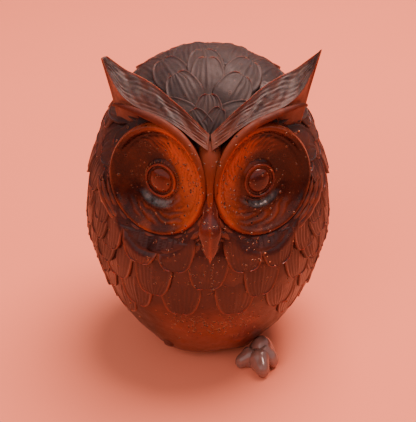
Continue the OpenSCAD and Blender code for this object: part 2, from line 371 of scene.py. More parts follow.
def spun_core(bottom, top, rows):
    """A mesh of the body's smooth outline between two heights, turned round the upright axis."""
    heights = [bottom + (top - bottom) * row / rows for row in range(rows + 1)]
    line = [(0.0, 0.0, bottom)] + [(core_radius(height), 0.0, height) for height in heights]
    if core_radius(top) > 0.01:
        line.append((0.0, 0.0, top))
    bm = bmesh.new()
    revolve(bm, line, 144)
    bmesh.ops.remove_doubles(bm, verts=bm.verts, dist=weld)
    return bm


# where the left facial disc sits: how far it is turned out and tilted up, its middle and its axes
dish_turn = math.radians(28.3)
dish_tilt = math.radians(8.5)
dish_centre = Vector((9.2, -16.8, 42.36))
face_shift = 0.35
face_set = Matrix.Translation((face_shift, 0.0, 0.0))
dish_stretch = 0.07
# the pockets that hold the discs: how wide and how deep, in the casting and in the feathers over it
core_pocket = (9.3, -3.6)
plumage_pocket = (9.55, -3.2)
pocket_edge = 13.5
pocket_slope = 0.42
dish_out = Vector((
    math.sin(dish_turn) * math.cos(dish_tilt),
    -math.cos(dish_turn) * math.cos(dish_tilt),
    math.sin(dish_tilt),
))
dish_side = Vector((math.cos(dish_turn), math.sin(dish_turn), 0.0))
dish_up = dish_side.cross(dish_out) * -1


def mirrored(side):
    """What puts a shape drawn for the owl's left on either side of its face."""
    return face_set @ Matrix.Scale(side, 4, (1, 0, 0))


def press_pocket(point, reach, floor):
    """Presses a point back into the pocket that holds a facial disc, and down beside the disc's rim."""
    for side in (1, -1):
        seen = Vector(((point.x - face_shift) * side, point.y, point.z)) - dish_centre
        flat = Vector((seen.dot(dish_side), seen.dot(dish_up)))
        flat.y /= 1 + dish_stretch * max(flat.y / max(flat.length, 0.1), 0.0) ** 2
        deep = seen.dot(dish_out)
        limit = floor if flat.length < reach else (flat.length - reach) * pocket_slope - 0.35
        if flat.length < pocket_edge and deep > limit:
            moved = Vector((point.x * side, point.y, point.z)) - dish_out * (deep - limit)
            point = Vector((moved.x * side, moved.y, moved.z))
    return point


def belly_tone(point):
    """How strongly a glow of light shining through is painted on the low belly and the front of the base."""
    front = ease(0.68, 0.98, -point.y / max(math.hypot(point.x, point.y), 1.0))
    low = ease(0.5, 5.0, point.z) * (1 - ease(11.0, 20.0, point.z))
    line = bell(point.z, 2.2, 0.9) * ease(0.6, 0.95, -point.y / 13)
    return min(0.95 * front * low + 0.6 * line * front, 1.0)


bm = spun_core(0.0, 33.0, 66)
tone = tone_layer(bm)
for vert in bm.verts:
    point = vert.co.copy()
    reach = math.hypot(point.x, point.y)
    if reach > 1.0 and point.z > base_edge:
        turn = math.atan2(point.x, -point.y)
        strokes = math.cos(turn * 62 + 1.5 * noise.noise(point * 0.25)) * ease(3.0, 7.0, point.z)
        swell = -base_tuck * max(1 - point.z / 3.0, 0.0) ** 2
        swell += noise.noise(point * 0.16) * 0.45 + noise.noise(point * 0.5) * 0.12
        carved = 0.10 * strokes * ease(-0.2, 0.4, noise.noise(point * 0.2))
        vert.co = on_core(point, swell + carved)[0]
        vert.co.z = max(vert.co.z, base_edge)
        vert.co = press_pocket(vert.co, *core_pocket)
    elif reach > 1.0:
        vert.co = point * ((base_radius - base_tuck) / base_radius)
    # painted shade on the flanks, where the body turns away from the front
    flank = ease(-0.96, -0.78, point.y / max(reach, 1.0))
    vert[tone] = (belly_tone(point), 0.6 * flank * ease(3.0, 8.0, point.z), 0.0, 1.0)
cast_piece("trunk_cast", bm, body_resin, "amber_body", "trunk", "belly_row")

head_resin = amber_resin(
    "amber_resin_head", ("#200f11", "#2c1717", "#5a2d20", "#40302b"),
    roughness=0.62, coat=0.0, bubble=0.25, grain=0.15, gloss=0.2,
)
bm = spun_core(30.0, head_high.z, 60)
tone = tone_layer(bm)
for vert in bm.verts:
    point = vert.co.copy()
    top = ease(46, 51, point.z)
    if math.hypot(point.x, point.y) > 0.5 and point.z > 31:
        vert.co = on_core(point, 0.3 * noise.noise(point * 0.3) - 0.1 - top)[0]
    vert.co = press_pocket(vert.co, *core_pocket)
    # painted shade on the top of the head under the crown feathers; lower down a little painted glow and
    # painted sheen
    vert[tone] = (0.12 * (1 - top), 0.4 * top, 0.35 * (1 - top), 1.0)
cast_piece("head_cast", bm, head_resin, "amber_body", "head")

# ---- Facial discs ----
# Each eye sits in a polished dish with a raised rim, cast with the head from a smooth master.
# Fine barbs sweep over the dish from the eye, and the lower lid stands up in a soft fold.

dish_radius = 9.1
dish_depth = 2.4
rim_start = 8.3
rim_height = 0.35
rim_outer = 9.9
dish_back = -4.2
lid_radius = 4.9
dish_resin = amber_resin(
    "amber_resin_dish", ("#110508", "#1b090a", "#93411e", "#7e7876"),
    roughness=0.26, coat=0.15, bubble=0.55, grain=0.05, gloss=0.22,
)


def dish_height(reach):
    """The dish's smooth hollow, with the low mound that carries the eye."""
    hollow = -dish_depth * (1 - (reach / 8.6) ** 2)
    mound = 0.8 * (1 - ease(2.2, 4.4, reach))
    if reach < rim_start:
        return hollow + mound
    rise = ease(rim_start, dish_radius, reach)
    if reach <= dish_radius:
        return (1 - rise) * hollow + rise * rim_height
    return rim_height - 0.9 * ease(dish_radius, rim_outer, reach) ** 2


def facing(turn, way):
    """1 where a turn about the eye points a given way in degrees, down to -1 opposite it."""
    return math.cos(turn - math.radians(way))


def dish_relief(reach, turn, side):
    """Barbs, ridges and the lower lid: how far they stand up, and their painted glow, painted shade and
    painted highlight.
    """
    right = side < 0
    x, y = math.cos(turn), math.sin(turn)
    high = ease(0.2, 0.8, facing(turn, 118))
    low = ease(0.35, 0.85, facing(turn, 262))
    waver = noise.noise(Vector((reach * 0.5, x * 3, y * 3 + side)))
    patchy = ease(-0.25, 0.25, noise.noise(Vector((reach * 0.9, x * 2.2, y * 2.2 + side))))
    sweep = math.cos(turn * 34 + reach * 5.2 + waver * 5.0) * (0.25 + 0.75 * patchy)
    upper = high * ease(4.4, 5.4, reach) * (1 - ease(7.5, 8.2, reach))
    curl = math.cos(turn * 13 + reach * 5.0 + waver * 4.0)
    lower = low * ease(5.4, 6.0, reach) * (1 - ease(7.6, 8.3, reach))
    nested = math.cos((reach - dish_radius) * 6.4) * ease(7.2, 7.9, reach) * (1 - ease(8.6, 9.0, reach))
    lid = ease(0.45, 0.9, facing(turn, 266))
    lid_edge = 1 + 0.12 * math.cos(turn * 22)
    lift = 0.09 * sweep * upper + 0.08 * curl * lower + 0.07 * nested * ease(0.1, 0.8, facing(turn, 165))
    lift += (0.62 if right else 0.5) * bell(reach, lid_radius, 0.62 * lid_edge) * lid
    lift -= 0.16 * bell(reach, 3.9, 0.4) * lid + 0.12 * bell(reach, 3.55, 0.3)
    lift -= 0.35 * bell(reach, 8.0, 0.45) * ease(0.1, 0.7, y)
    # painted glow of light shining through, strongest on the dish's inner side, on the barbs' crests and at
    # the rim
    inner = facing(turn, 160) * reach / 8.5
    glow = 0.85 * ease(-0.05, 0.85, inner) * (1 - 0.35 * ease(0.6, 1.0, -y))
    glow += 0.45 * ease(8.2, 8.9, reach) * ease(-0.1, 0.6, facing(turn, 125))
    glow += 0.48 * upper * (0.5 + 0.5 * sweep) + 0.22 * lower * max(curl, 0.0)
    glow += (0.04 if right else 0.30) * bell(reach, 7.0, 1.2) * ease(0.2, 0.9, facing(turn, -28))
    glow += 0.22 * ease(8.9, 9.4, reach)
    glow *= 1.0 if right else 0.72
    glow += 0.14 * low * ease(5.0, 6.5, reach) + (0.08 if right else 0.25) * upper
    if right:
        glow += 0.25 * bell(reach, 4.6, 1.3) * ease(-0.2, 0.7, facing(turn, 175))
    # darker on the outer side; painted shade under the upper rim, in the barb grooves and round the eye's
    # mound
    dark = 0.7 * ease(0.0, 0.75, facing(turn, 20) * ease(2.5, 5.0, reach))
    dark *= 1 - 0.5 * ease(7.5, 9.0, reach)
    dark += 0.45 * bell(reach, 7.9, 0.4) * ease(0.1, 0.8, facing(turn, 75))
    dark += 0.25 * upper * max(-sweep, 0.0) + 0.15 * lower * max(-curl, 0.0)
    dark += 0.35 * bell(reach, 3.5, 0.3)
    # a painted highlight on the lower lid's fold, stronger on the right eye
    painted_sheen = (1.0 if right else 0.5) * bell(reach, 4.3, 0.5) * lid
    return lift, (min(glow, 1.0), min(dark, 0.85), min(painted_sheen, 1.0), 1.0)


def face_place(side):
    """The matrix that seats a dish drawn flat on its side of the face."""
    seat = Matrix((dish_side, dish_up, dish_out)).transposed().to_4x4()
    seat.translation = dish_centre
    return mirrored(side) @ seat


for side, word in both_sides:
    bm = bmesh.new()
    reaches = [pole_gap + rim_outer * step / 78 for step in range(79)]
    line = [(reach, 0.0, dish_height(reach)) for reach in reaches]
    line += [(rim_outer + 0.05, 0.0, -1.6), (rim_outer - 0.6, 0.0, dish_back), (pole_gap, 0.0, dish_back)]
    revolve(bm, line, 288)
    bmesh.ops.remove_doubles(bm, verts=bm.verts, dist=weld)
    tone = tone_layer(bm)
    for vert in bm.verts:
        reach = math.hypot(vert.co.x, vert.co.y)
        turn = math.atan2(vert.co.y, vert.co.x)
        if reach <= rim_outer and abs(vert.co.z - dish_height(reach)) < 0.002:
            lift, shade = dish_relief(reach, turn, side)
            vert.co.z += lift
            vert[tone] = shade
        else:
            # a little painted glow and painted shade on the dish's back and sides
            vert[tone] = (0.2, 0.2, 0.0, 1.0)
        vert.co.x *= 1 - 0.03 * max(-math.cos(turn), 0.0)
        vert.co.y *= 1 + dish_stretch * max(math.sin(turn), 0.0) ** 2
    bm.transform(face_place(side))
    cast_piece(word + "_dish", bm, dish_resin, "amber_face", word + "_facial_disc", word + "_disc_rim")

# ---- Eyes ----
# A domed pupil sits inside a round-edged ring on the dish's mound, all of the same clear pour.
# Each was turned on the master, so both are true rounds.

pupil_radius = 2.25
pupil_rise = 1.05
ring_radius = 2.85
ring_thick = 0.24
eye_level = -1.60
eye_root = 1.6

eye_resin = amber_resin(
    "amber_resin_eye", ("#1f070a", "#300d0e", "#8c3716", "#6a6668"),
    roughness=0.16, coat=0.35, bubble=0.12, grain=0.03, gloss=0.3,
)

for side, word in both_sides:
    bm = bmesh.new()
    line = []
    for step in range(19):
        bend = math.radians(5 * step)
        dome = eye_level + pupil_rise * math.cos(bend)
        line.append((pole_gap + pupil_radius * math.sin(bend), 0.0, dome))
    line += [(pupil_radius, 0.0, eye_level - eye_root), (pole_gap, 0.0, eye_level - eye_root)]
    revolve(bm, line, 72)
    tone = tone_layer(bm)
    for vert in bm.verts:
        reach = math.hypot(vert.co.x, vert.co.y) / pupil_radius
        inward = 0.5 - 0.5 * vert.co.x / pupil_radius
        # painted glow of light through the pupil, round its inner edge and all over on the right eye; darker
        # towards its middle
        glow = (0.25 if side < 0 else 0.0) + 0.22 * ease(0.4, 1.0, reach) * inward
        vert[tone] = (glow, 0.25 * (1 - reach), 0.0, 1.0)
    bm.transform(face_place(side))
    cast_piece(word + "_pupil_dome", bm, eye_resin, "dark_amber_eye", word + "_pupil")

    bm = bmesh.new()
    made = bmesh.ops.create_circle(bm, segments=16, radius=ring_thick)
    bmesh.ops.rotate(bm, verts=made["verts"], cent=(0, 0, 0), matrix=Matrix.Rotation(math.pi / 2, 3, "X"))
    bmesh.ops.translate(bm, verts=made["verts"], vec=(ring_radius, 0.0, eye_level + 0.22))
    bmesh.ops.spin(
        bm, geom=bm.verts[:] + bm.edges[:], cent=(0, 0, 0), axis=(0, 0, 1), angle=math.tau, steps=96,
        use_merge=True, use_duplicate=False,
    )
    tone = tone_layer(bm)
    for vert in bm.verts:
        inward = -vert.co.x / ring_radius
        # painted glow on the ring, strongest on its inner side and on the right eye
        vert[tone] = ((0.75 if side < 0 else 0.3) * (0.6 + 0.4 * inward), 0.0, 0.0, 1.0)
    bm.transform(face_place(side))
    cast_piece(word + "_ring", bm, eye_resin, "dark_amber_eye", word + "_eye_ring")

# ---- Brows and bridge ----
# A smooth rounded brow runs from the outer flank of each ear over its dish and down to the beak.
# The two meet in a narrow ridge between the eyes, polished, with a painted glow of light shining through it.


def run_of(*points):
    """Points of a smooth line, in millimetres."""
    return [Vector(point) for point in points]


brow_line = run_of(
    (17.2, -6.6, 52.2), (15.9, -9.0, 53.4), (13.4, -11.9, 53.9), (10.6, -14.2, 53.8), (7.7, -16.2, 53.3),
    (5.0, -18.2, 52.0), (3.0, -19.8, 50.0), (1.8, -20.9, 47.6), (1.1, -21.4, 44.8), (0.95, -21.5, 42.0),
)
brow_resin = amber_resin(
    "amber_resin_brow", ("#30110f", "#411a13", "#7a3619", "#5c3a30"),
    roughness=0.6, coat=0.0, bubble=0.15, grain=0.12, gloss=0.2,
)


def smooth_run(points, part):
    """A smooth run through the points, from 0 at the first to 1 at the last."""
    span = part * (len(points) - 1)
    i = min(int(span), len(points) - 2)
    f = span - i
    a = points[max(i - 1, 0)]
    b = points[i]
    c = points[i + 1]
    d = points[min(i + 2, len(points) - 1)]
    return 0.5 * (2 * b + (c - a) * f + (2 * a - 5 * b + 4 * c - d) * f * f + (3 * b - a - 3 * c + d) * f**3)


def wrapped_grid(bm, around, along, place):
    """A grid whose points are moved to where place says, for a share round and a share along."""
    tone = tone_layer(bm)
    made = bmesh.ops.create_grid(bm, x_segments=around, y_segments=along, size=0.5)
    for vert in made["verts"]:
        vert.co, shade = place(vert.co.x + 0.5, vert.co.y + 0.5)
        vert[tone] = shade


def rod_between(bm, points, radius_at, flat, shade, around=20, along=70):
    """A smooth rod along a run of points, flattened towards the head, with closed ends."""
    def place(share, part):
        spot = smooth_run(points, part)
        ahead = smooth_run(points, min(part + 0.01, 1.0)) - smooth_run(points, max(part - 0.01, 0.0))
        ahead.normalize()
        out = (spot - head_centre).normalized()
        out = (out - ahead * out.dot(ahead)).normalized()
        bend = share * math.tau
        radius = radius_at(part)
        spot += ahead.cross(out) * radius * math.cos(bend) + out * radius * flat * math.sin(bend)
        return spot, shade(part)
    wrapped_grid(bm, around, along, place)


def arch(part):
    """0 at both ends of a run and 1 half way."""
    return math.sin(math.pi * min(max(part, 0.0), 1.0))


def brow_radius(part):
    """A brow is fullest at its middle and closes quickly at both ends."""
    ends = ease(-0.001, 0.04, part) * ease(-0.001, 0.04, 1 - part)
    return (0.48 + 0.26 * math.sin(math.pi * part)) * arch(part * 0.93 + 0.035) ** 0.45 * ends


def brow_shade(part):
    """A brow has painted shade at the ear and a painted glow towards the beak."""
    return 0.12 + 0.50 * ease(0.2, 0.75, part), 0.25 * (1 - ease(0.0, 0.3, part)), 0.0, 1.0


def bridge_radius(part):
    """The bridge is broad at the forehead and narrow between the eyes."""
    return (0.6 + 1.9 * (1 - ease(0.1, 0.65, part))) * arch(part) ** 0.4


for side, word in both_sides:
    bm = bmesh.new()
    rod_between(bm, brow_line, brow_radius, 0.85, brow_shade)
    bm.transform(mirrored(side))
    cast_piece(word + "_brow_band", bm, brow_resin, "amber_face", word + "_brow")

bm = bmesh.new()
ridge_line = run_of(
    (0, -16.7, 50.4), (0, -18.3, 49.4), (0, -20.4, 47.0), (0, -21.4, 44.4), (0, -21.9, 41.8),
    (0, -22.3, 39.8),
)
# the bridge gets a painted glow that grows towards the beak, and a little painted shade near the forehead
rod_between(
    bm, ridge_line, bridge_radius, 0.62, lambda part: (0.5 + 0.35 * part, 0.1 * (1 - part), 0.0, 1.0), 24, 60
)
bm.transform(face_set)
cast_piece("bridge_ridge", bm, brow_resin, "amber_face", "bridge")

# Under each dish three low ridges follow its rim, where the face feathers end over the breast.
# For each: the turn in degrees where it starts, how far it lies outside the rim, its depth and its radius.
ruff_end = 353
ruff_ridges = ((190, 0.45, -0.45, 0.55), (208, 1.35, -0.25, 0.55), (222, 2.25, -0.45, 0.7))
for side, word in both_sides:
    bm = bmesh.new()
    for first, outside, sink, ridge_radius in ruff_ridges:
        reach = rim_outer + outside
        ruff_line = []
        for step in range(25):
            turn = math.radians(first + (ruff_end - first) * step / 24)
            spot = dish_centre + dish_side * reach * math.cos(turn) + dish_up * reach * math.sin(turn)
            ruff_line.append(spot + dish_out * sink)

        def ruff_radius(part):
            """A ruff's ridge has low lumps along it and closes at both ends."""
            return ridge_radius * min(1.0, 3.5 * arch(part)) * (1 + 0.1 * math.cos(part * 60))

        # each ridge gets a painted glow that rises and falls with its lumps, and a little painted shade
        rod_between(
            bm, ruff_line, ruff_radius, 0.9,
            lambda part: (0.30 + 0.15 * math.cos(part * 60), 0.12, 0.0, 1.0), 14, 96,
        )
    bm.transform(mirrored(side))
    cast_piece(word + "_ruff", bm, body_resin, "amber_face")

# ---- Beak ----
# A narrow hooked beak with a keel down its front hangs from the bridge over the breast.
# It is solid and polished, with painted shade at the sides and a painted glow along the keel and at the tip.

beak_low, beak_high = [corner * 1000 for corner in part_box("beak")]
beak_tip = Vector((0.0, beak_low.y + 0.15, beak_low.z))
beak_keel = run_of(
    (0, -21.3, beak_high.z + 0.6), (0, -22.9, 39.4), (0, -24.3, 36.4), (0, -24.6, 33.6), beak_tip
)
beak_widths = (0.5, 1.35, 1.95, 1.35, 0.02)
beak_resin = amber_resin(
    "amber_resin_beak", ("#290a0a", "#35100e", "#742c16", "#6a6668"),
    roughness=0.2, coat=0.6, bubble=0.18, grain=0.04,
)


def beak_place(share, part):
    """A keeled section: sharp in front, full at the sides and sunk into the face behind."""
    keel = smooth_run(beak_keel, part)
    span = part * (len(beak_widths) - 1)
    i = min(int(span), len(beak_widths) - 2)
    width = beak_widths[i] + (beak_widths[i + 1] - beak_widths[i]) * ease(0, 1, span - i)
    bend = share * math.tau
    depth = 3.4 * (1 - part) ** 0.6 + 0.1
    x = width * math.sin(bend)
    front = 0.5 + 0.5 * math.cos(bend)
    y = keel.y + depth * (1 - front**0.75)
    # painted glow along the keel and at the tip, and painted shade at the sides
    glow = 0.55 * bell(x, 0.0, 0.3) * front + 0.45 * ease(0.75, 1.0, part) + 0.12
    return Vector((x, y, keel.z)), (glow, 0.25 * math.sin(bend) ** 2, 0.0, 1.0)


def close_holes(bm):
    """Closes every open end with a face."""
    bmesh.ops.holes_fill(bm, edges=[e for e in bm.edges if e.is_boundary], sides=0)


bm = bmesh.new()
wrapped_grid(bm, 36, 60, beak_place)
bmesh.ops.remove_doubles(bm, verts=bm.verts, dist=weld)
close_holes(bm)
bm.transform(face_set)
cast_piece("beak_hook", bm, beak_resin, "amber_beak", "beak")

# ---- Ear tufts ----
# Each tuft rises from the middle of the forehead to a point, with a sharp overhanging front edge.
# Its upper face is carved with long strokes and frosted, with a painted sheen in leaf-shaped patches; the
# right one's point broke off in the mould.

ear_edge = run_of(
    (0.35, -19.6, 50.0), (2.7, -19.1, 51.7), (5.0, -17.7, 53.1), (7.8, -15.9, 54.1), (10.7, -13.8, 54.4),
    (13.2, -11.6, 54.7), (15.6, -9.3, 55.9), (17.6, -7.4, 58.8), (19.2, -6.1, 62.6),
)
ear_top = run_of(
    (0.1, -17.9, 52.2), (2.0, -17.2, 53.8), (4.0, -15.7, 55.3), (6.4, -13.7, 56.6), (9.0, -10.7, 57.6),
    (11.8, -7.7, 58.1), (14.6, -5.6, 58.6), (17.0, -5.0, 60.2), (19.2, -6.0, 62.5),
)
ear_root = run_of(
    (0.1, -14.5, 47.0), (2.5, -14.0, 48.0), (5.0, -13.0, 49.0), (7.8, -11.0, 49.0), (10.7, -9.5, 48.5),
    (13.4, -8.4, 47.5), (15.6, -6.2, 47.0), (17.5, -5.8, 55.0), (19.2, -5.9, 62.4),
)
ear_resin = amber_resin(
    "frosted_resin_ear", ("#221415", "#321f1d", "#74412e", "#524d4a"),
    roughness=0.55, coat=0.04, bubble=0.15, grain=0.2, gloss=0.25,
)


# the share of the way round a tuft's section where its back ends and its front flank begins
back_end = 0.68


def ear_place(share, part):
    """A three-cornered section: the carved upper face, the back and the smooth front flank."""
    edge = smooth_run(ear_edge, part)
    top = smooth_run(ear_top, part)
    root = smooth_run(ear_root, part)
    out = (edge + top - 2 * root).normalized()
    if share < 0.5:
        across = share / 0.5
        spot = edge.lerp(top, ease(0, 1, across) * 0.5 + across * 0.5)
        body = math.sin(math.pi * across) * ease(0.0, 0.08, part) * ease(0.0, 0.10, 1 - part)
        waver = noise.noise(Vector((part * 6, across * 2, 3.1)))
        broken = ease(-0.2, 0.2, noise.noise(Vector((part * 7 + 3.0, across * 5.0, 1.2))))
        strokes = math.cos(across * 48 + part * 26 + waver * 5.0) * body * (0.25 + 0.75 * broken)
        leaves = noise.noise(Vector((part * 10 - across * 3.0, across * 2.4, 7.7))) * body
        spot = spot + out * (0.06 * strokes + 0.42 * leaves - 0.35 * body)
        # painted sheen in leaf-shaped patches, painted shade in the stroke grooves, between the patches and
        # along the front edge, and a painted glow near the root
        bright = ease(-0.14, 0.16, leaves)
        glow = 0.3 * (1 - bright) + 0.6 * (1 - ease(0.05, 0.32, part))
        dark = 0.35 * max(-strokes, 0) + 0.35 * (1 - bright) + 0.25 * (1 - ease(0.0, 0.12, across))
        return spot, (glow, dark, (0.1 + 0.9 * bright) * (0.6 + 0.4 * max(strokes, 0)), 1.0)
    if share < back_end:
        across = (share - 0.5) / (back_end - 0.5)
        spot = top.lerp(root, across) + (top - edge).normalized() * 0.5 * math.sin(math.pi * across)
        # the back gets a little painted glow and painted shade, and painted sheen near the top
        return spot, (0.1, 0.1, 0.4 * (1 - across), 1.0)
    across = (share - back_end) / (1 - back_end)
    spot = root.lerp(edge, across)
    scoop = (edge - top).normalized() * math.sin(math.pi * across) * 0.35
    # painted glow of light through the front flank, rising towards the point and the edge, with a little
    # painted sheen
    flank_glow = 0.3 + ease(0.3, 1.0, part) * 0.25 + 0.35 * ease(0.6, 1.0, across)
    return spot - scoop, (flank_glow, 0.0, 0.12, 1.0)


for side, word in both_sides:
    bm = bmesh.new()
    wrapped_grid(bm, 150, 110, ear_place)
    bmesh.ops.remove_doubles(bm, verts=bm.verts, dist=weld)
    close_holes(bm)
    if side < 0:
        bmesh.ops.bisect_plane(
            bm, geom=bm.verts[:] + bm.edges[:] + bm.faces[:], plane_co=(18.1, -6.6, 61.0),
            plane_no=(0.25, 0.1, 0.96), clear_outer=True, dist=0.001,
        )
        close_holes(bm)
        bmesh.ops.triangulate(bm, faces=[f for f in bm.faces if len(f.verts) > 4])
    bm.transform(mirrored(side))
    cast_piece(word + "_tuft", bm, ear_resin, "frosted_plumage", word + "_ear_tuft")

# ---- Crown, forehead and nape feathers ----
# Round-ended feathers start at the forehead, lie back over the crown and turn down the nape.
# They are moulded with the head and left frosted, with a painted sheen, each with a thin raised edge and
# carved barbs.

feather_wide = 7.9
feather_long = 10.0
crown_press = 0.85
barb_depth = 0.08
forehead = Vector((0.0, -0.777, 0.634))

crown_resin = amber_resin(
    "frosted_resin_plumage", ("#191113", "#241718", "#402721", "#342c29"),
    roughness=0.62, coat=0.03, bubble=0.3, grain=0.2, gloss=0.28,
)


def lay_feather(bm, root, toward, length, width, lift, bed=0.0, barbs=8, cut=0.26, painted_sheen=0.5, rim=0.5,
                blunt=0.5, seed=0, narrow=0.72, grid=(30, 16), extra_dark=0.0):
    """One feather laid on the body from its root: a raised edge, a quill and barbs that spread to the tip."""
    start, normal = on_core(root, 0.0)
    down = (toward - normal * toward.dot(normal)).normalized()
    across = down.cross(normal)
    luck = random.Random(seed)
    tint = luck.random()
    slant = luck.uniform(-0.06, 0.06)
    one = bmesh.new()
    tone = tone_layer(one)
    verts = bmesh.ops.create_grid(one, x_segments=grid[0], y_segments=grid[1], size=0.5)["verts"]
    copy = bmesh.ops.extrude_face_region(one, geom=verts + one.edges[:] + one.faces[:], use_keep_orig=True)
    tops = [item for item in copy["geom"] if isinstance(item, bmesh.types.BMVert)]
    for vert, top in [(v, False) for v in verts] + [(v, True) for v in tops]:
        u = vert.co.x * 2
        part = min(max(vert.co.y + 0.5, 0.0), 1.0)
        s = math.sin(part * math.pi / 2)
        half = width / 2 * max(math.cos(part * math.pi / 2), 0.0) ** blunt
        half *= narrow + (1 - narrow) * ease(0.0, 0.5, s)
        x = u * half + slant * length * s * s
        y = length * s
        shade = (0.0, 0.0, 0.0, 1.0)
        if top:
            edge = min((1 - abs(u)) * half, (1 - part) * length * 0.9)
            waver = noise.noise(Vector((x * 0.7, y * 0.35, seed * 1.7)))
            patchy = ease(-0.3, 0.3, noise.noise(Vector((x * 0.35, y * 0.25, seed * 2.3 + 5.0))))
            wave = math.cos(math.pi * barbs * u + waver * 3.0) * (0.3 + 0.7 * patchy)
            field = ease(0.25, 0.75, edge) * ease(0.08, 0.3, s)
            quill = bell(u * half, 0.0, 0.28) * (1 - ease(0.75, 0.95, s)) * ease(0.1, 0.3, s)
            lip = bell(edge, 0.18, 0.2) * ease(0.25, 0.55, s)
            height = bed - 0.7 * (1 - ease(0.0, 0.5, s)) + lift * s**1.3 + 0.18 * (1 - u * u) * (1 - 0.6 * s)
            height += cut * 0.5 * (wave - 1) * field + 0.08 * quill + 0.18 * lip
            height -= 0.2 * (1 - ease(0.0, 0.12, edge))
            # painted glow on the raised edge and the barbs' crests over a random tint; painted shade in the
            # barb grooves and at the root under the row above, plus any extra darkening; painted sheen on the
            # crests and the edge
            border = bell(edge, 0.0, 0.9) * ease(0.3, 0.6, s)
            glow = rim * (lip + 0.22 * border) + 0.12 * max(wave, 0) * field + 0.15 * (tint - 0.5)
            dark = min(0.35 * max(-wave, 0.0) * field + 0.28 * (1 - ease(0.1, 0.6, s)) + extra_dark, 0.9)
            shade = (max(glow, 0.0), dark, painted_sheen * (0.55 + 0.45 * max(wave, lip)), 1.0)
        else:
            height = -0.9
            x *= 0.96
        spot = start + across * x + down * y
        vert.co = press_pocket(on_core(spot, height)[0], *plumage_pocket)
        vert[tone] = shade
    bmesh.ops.remove_doubles(one, verts=one.verts, dist=weld)
    loose = bpy.data.meshes.new("feather")
    one.to_mesh(loose)
    one.free()
    bm.from_mesh(loose)
    bpy.data.meshes.remove(loose)


def under_dish(point):
    """True where a facial disc covers this place on the body."""
    return (press_pocket(point, 8.6, plumage_pocket[1]) - point).length > 1.5


def away_from_forehead(polar, swing):
    """A place on the head so many degrees back from the forehead, and the way a feather lies there."""
    side = Vector((1, 0, 0))
    back = side.cross(forehead) * -1
    if back.z < 0:
        back = -back
    heading = back * math.cos(math.radians(swing)) + side * math.sin(math.radians(swing))
    angle = math.radians(polar)
    out = forehead * math.cos(angle) + heading * math.sin(angle)
    toward = heading * math.cos(angle) - forehead * math.sin(angle)
    return head_centre + out * head_radius, toward


# each row's degrees back from the forehead, how far its feathers swing to each side, and their lift
crown_rows = (
    (98, (0, 26, 52, 78), 0.95), (83, (13, 39, 65, 90), 0.95), (69, (0, 24, 49, 74), 0.95),
    (54, (13, 38, 64, 89), 0.95), (39, (0, 31, 62, 88), 1.0), (29, (0,), 0.95), (24, (31, 74), 1.1),
    (14, (58,), 1.1),
)
crown_overlap = 11
bm = bmesh.new()
number = 0
for start, swings, lift in crown_rows:
    for swing in swings:
        for side in ((1, -1) if swing else (1,)):
            number += 1
            luck = random.Random(number)
            polar = start - crown_overlap + luck.uniform(-1, 1)
            root, toward = away_from_forehead(polar, swing * side + luck.uniform(-2, 2))
            if under_dish(root) and under_dish(root + toward * 4):
                continue
            length = feather_long * luck.uniform(0.95, 1.08)
            width = feather_wide * luck.uniform(0.95, 1.08)
            lay_feather(
                bm, root, toward, length, width, lift * crown_press, bed=-0.55, barbs=7, cut=barb_depth,
                painted_sheen=0.75, rim=0.35, seed=number,
            )
cast_piece("crown_plumage", bm, crown_resin, "frosted_plumage", "crown_feathers")

# each feather's degrees back and to the side, its length and its width
forehead_plan = ((-8, 30, 8.2, 4.6), (-8, -30, 8.2, 4.6), (-10, 0, 11.6, 6.6))
bm = bmesh.new()
for number, (polar, swing, length, width) in enumerate(forehead_plan):
    root, toward = away_from_forehead(polar, swing)
    lay_feather(
        bm, root, toward, length, width, 0.6, bed=0.45, barbs=6, cut=0.14, painted_sheen=0.95, rim=0.6,
        seed=200 + number, narrow=0.5,
    )
cast_piece("forehead_plumage", bm, crown_resin, "frosted_plumage", "forehead_feathers")

nape_resin = amber_resin(
    "frosted_resin_nape", ("#1c0f11", "#281616", "#4c291e", "#342621"),
    roughness=0.48, coat=0.10, bubble=0.2, grain=0.15,
)


def ring_point(turn, height):
    """A place on the body so many degrees round from the front, on the owl's left when over 0."""
    angle = math.radians(turn)
    radius = core_radius(height)
    return Vector((math.sin(angle) * radius, -math.cos(angle) * radius, height))


down_way = Vector((0.0, 0.0, -1.0))
nape_spacing = 6.4
bm = bmesh.new()
number = 300
for row, height in enumerate((33.5, 38.0, 42.5, 47.0, 51.0)):
    step = math.degrees(nape_spacing / core_radius(height + 3))
    edge = 61 if height < 46 else 72
    count = int((360 - 2 * edge) / step)
    for place in range(count + 1):
        turn = edge + (360 - 2 * edge) * place / count + (0.5 * step if row % 2 else 0.0)
        if turn > 360 - edge:
            continue
        number += 1
        luck = random.Random(number)
        # they lie flat beside the face, stand up behind the head and stay up at the shoulders
        behind = max(ease(95, 140, min(turn, 360 - turn)), 0.85 * (height < 40))
        length = 7.6 * luck.uniform(0.96, 1.05)
        lay_feather(
            bm, ring_point(turn, height + 5.5), down_way, length, 6.8, 0.45 + 0.4 * behind,
            bed=0.4 * behind - 0.4, barbs=7, cut=0.22, painted_sheen=0.35, rim=0.4, seed=number, grid=(26, 14),
        )
cast_piece("nape_plumage", bm, nape_resin, "frosted_plumage", "nape_feathers")

# ---- Breast feathers ----
# Large round-ended feathers hang in rows over the breast and flanks, cast with the body.
# Their edges carry a painted glow of light shining through, and fine upright barbs are carved into each.

breast_resin = amber_resin(
    "amber_resin_plumage", ("#1d0b0e", "#2a1111", "#672f1d", "#3a2620"),
    roughness=0.34, coat=0.32, bubble=0.5, grain=0.10,
)
breast_length = 9.6
breast_width = 8.2
